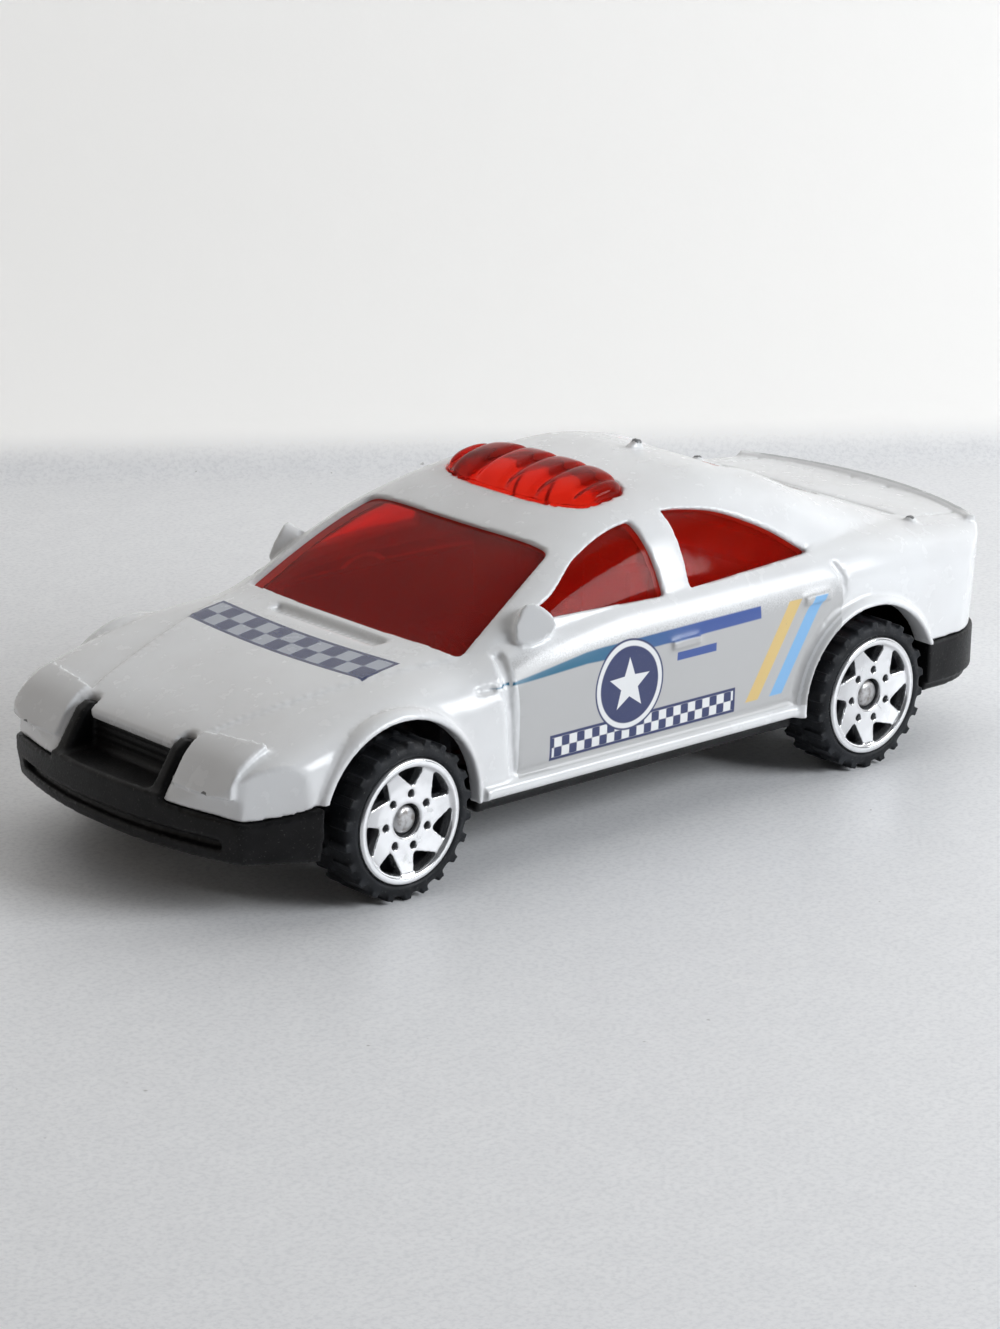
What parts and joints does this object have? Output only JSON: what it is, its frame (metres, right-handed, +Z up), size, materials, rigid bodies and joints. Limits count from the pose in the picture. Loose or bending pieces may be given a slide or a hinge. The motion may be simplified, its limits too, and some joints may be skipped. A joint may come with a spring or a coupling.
{
  "type": "toy police car",
  "caption": "Pocket die-cast police car with red glazing, a lobed roof beacon, a black base and free-rolling wheels.",
  "frame": {"origin": "on the ground under the middle of the car's length and width", "axes": "+X towards the front bumper, +Y towards the car's left side, +Z up"},
  "size_m": [0.0744, 0.031, 0.0231],
  "materials": {
    "white_enamel": "glossy enamel",
    "red_plastic": "clear tinted",
    "interior_plastic": "moulded",
    "base_plastic": "satin moulded",
    "axle_steel": "plain wire",
    "wheel_plastic": "moulded",
    "bright_foil": "hot-stamped bright foil"
  },
  "bodies": {
    "car": {"body_shell": "white_enamel", "glazing": "red_plastic", "interior_tray": "interior_plastic", "chassis_base": "base_plastic"},
    "axle_front": {"front_axle": "axle_steel"},
    "axle_rear": {"rear_axle": "axle_steel"},
    "wheel_set_front_left": {"wheel_front_left": "wheel_plastic", "facing_front_left": "bright_foil"},
    "wheel_set_front_right": {"wheel_front_right": "wheel_plastic", "facing_front_right": "bright_foil"},
    "wheel_set_rear_left": {"wheel_rear_left": "wheel_plastic", "facing_rear_left": "bright_foil"},
    "wheel_set_rear_right": {"wheel_rear_right": "wheel_plastic", "facing_rear_right": "bright_foil"}
  },
  "joints": [
    {"name": "front_axle_turn", "type": "hinge", "parent": "car", "child": "axle_front", "pos_m": [0.0234, 0, 0.0055], "axis": [0, 1, 0], "continuous": true},
    {"name": "rear_axle_turn", "type": "hinge", "parent": "car", "child": "axle_rear", "pos_m": [-0.0206, 0, 0.0055], "axis": [0, 1, 0], "continuous": true},
    {"name": "front_left_wheel_spin", "type": "hinge", "parent": "axle_front", "child": "wheel_set_front_left", "pos_m": [0.0234, 0.0133, 0.0055], "axis": [0, 1, 0], "continuous": true},
    {"name": "front_right_wheel_spin", "type": "hinge", "parent": "axle_front", "child": "wheel_set_front_right", "pos_m": [0.0234, -0.0133, 0.0055], "axis": [0, 1, 0], "continuous": true},
    {"name": "rear_left_wheel_spin", "type": "hinge", "parent": "axle_rear", "child": "wheel_set_rear_left", "pos_m": [-0.0206, 0.0133, 0.0055], "axis": [0, 1, 0], "continuous": true},
    {"name": "rear_right_wheel_spin", "type": "hinge", "parent": "axle_rear", "child": "wheel_set_rear_right", "pos_m": [-0.0206, -0.0133, 0.0055], "axis": [0, 1, 0], "continuous": true}
  ]
}
